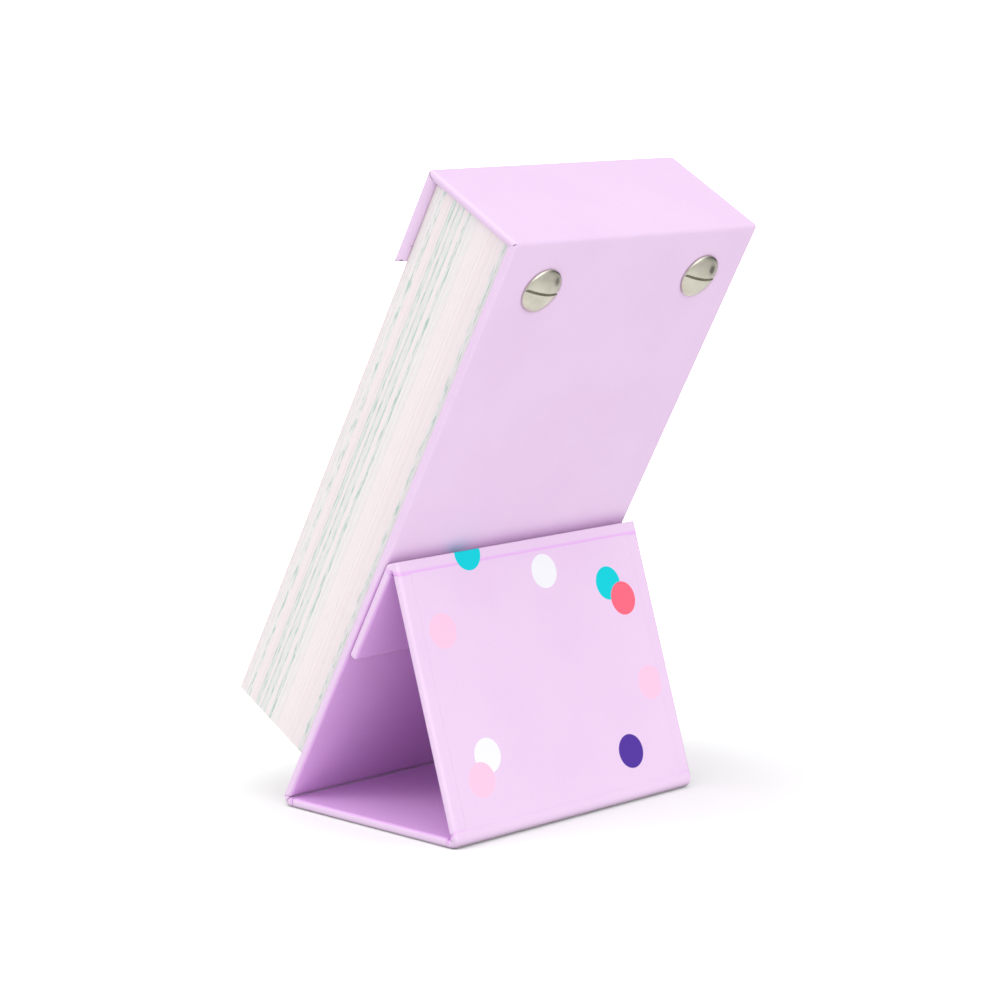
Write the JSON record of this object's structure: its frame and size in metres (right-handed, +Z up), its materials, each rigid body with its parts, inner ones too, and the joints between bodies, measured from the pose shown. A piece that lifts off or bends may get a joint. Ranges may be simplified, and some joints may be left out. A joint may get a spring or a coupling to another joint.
{
  "type": "tear-off day calendar",
  "caption": "Tear-off day calendar: a pad of day leaves bound by screws under a folded board case that leans on its own triangular stand and folds flat.",
  "frame": {"origin": "middle of the base panel's underside, halfway between the lower and rear fold lines", "axes": "+Z up; the day leaves face -Y and the stand is on the +Y side; X runs along the fold lines"},
  "size_m": [0.072, 0.0871, 0.1374],
  "materials": {
    "lilac_cover": "matt laminated paper",
    "lilac_lining": "matt laminated paper",
    "greyboard": "raw pressed board",
    "leaf_paper": "uncoated offset paper",
    "nickel": "bright nickel plate",
    "magnet": "plated disc"
  },
  "bodies": {
    "base": {"base_board": "greyboard", "base_cover": "lilac_cover", "base_lining": "lilac_lining", "lower_fold_strip": "lilac_lining", "rear_fold_strip": "lilac_lining"},
    "case": {"back_board": "greyboard", "top_board": "greyboard", "front_board": "greyboard", "case_cover": "lilac_cover", "case_lining": "lilac_lining", "back_magnets": "magnet", "today_stub": "leaf_paper", "january_leaves": "leaf_paper", "february_leaves": "leaf_paper", "march_leaves": "leaf_paper", "april_leaves": "leaf_paper", "may_leaves": "leaf_paper", "june_leaves": "leaf_paper", "july_leaves": "leaf_paper", "august_leaves": "leaf_paper", "september_leaves": "leaf_paper", "october_leaves": "leaf_paper", "november_leaves": "leaf_paper", "december_leaves": "leaf_paper"},
    "stand": {"stand_board": "greyboard", "stand_cover": "lilac_cover", "stand_lining": "lilac_lining", "apex_fold_strip": "lilac_lining"},
    "tuck_flap": {"tuck_board": "greyboard", "tuck_cover": "lilac_cover", "tuck_lining": "lilac_lining", "tuck_magnets": "magnet"},
    "today_leaf": {"today_leaf": "leaf_paper"},
    "left_screw": {"left_screw": "nickel"},
    "right_screw": {"right_screw": "nickel"},
    "left_post": {"left_post": "nickel"},
    "right_post": {"right_post": "nickel"}
  },
  "joints": [
    {"name": "case_fold", "type": "hinge", "parent": "base", "child": "case", "pos_m": [0, -0.0249, 0.00205], "axis": [-1, 0, 0], "range_deg": [0, 54], "deforming": ["lower_fold_strip"]},
    {"name": "stand_fold", "type": "hinge", "parent": "base", "child": "stand", "pos_m": [0, 0.0249, 0.00205], "axis": [-1, 0, 0], "range_deg": [0, 99], "deforming": ["rear_fold_strip"]},
    {"name": "tuck_fold", "type": "hinge", "parent": "stand", "child": "tuck_flap", "pos_m": [0, 0.00856, 0.05551], "axis": [1, 0, 0], "range_deg": [0, 45], "deforming": ["apex_fold_strip"]},
    {"name": "leaf_lift", "type": "hinge", "parent": "case", "child": "today_leaf", "pos_m": [0, 0.01194, 0.11738], "axis": [-1, 0, 0], "range_deg": [0, 100]},
    {"name": "left_screw_turn", "type": "hinge", "parent": "case", "child": "left_screw", "pos_m": [-0.0235, 0.03985, 0.1142], "axis": [0, 0.866, -0.5], "range_deg": [0, 2880]},
    {"name": "left_post_slide", "type": "slide", "parent": "case", "child": "left_post", "axis": [0, -0.866, 0.5], "range_m": [0, 0.0056]},
    {"name": "right_screw_turn", "type": "hinge", "parent": "case", "child": "right_screw", "pos_m": [0.0235, 0.03985, 0.1142], "axis": [0, 0.866, -0.5], "range_deg": [0, 2880]},
    {"name": "right_post_slide", "type": "slide", "parent": "case", "child": "right_post", "axis": [0, -0.866, 0.5], "range_m": [0, 0.0056]}
  ],
  "couplings": [
    {"joint": "stand_fold", "follows": "case_fold", "ratio": 1.8333},
    {"joint": "tuck_fold", "follows": "case_fold", "ratio": 0.83333},
    {"joint": "left_screw_turn", "follows": "left_post_slide", "rad_per_m": 8975},
    {"joint": "right_screw_turn", "follows": "right_post_slide", "rad_per_m": 8975}
  ]
}
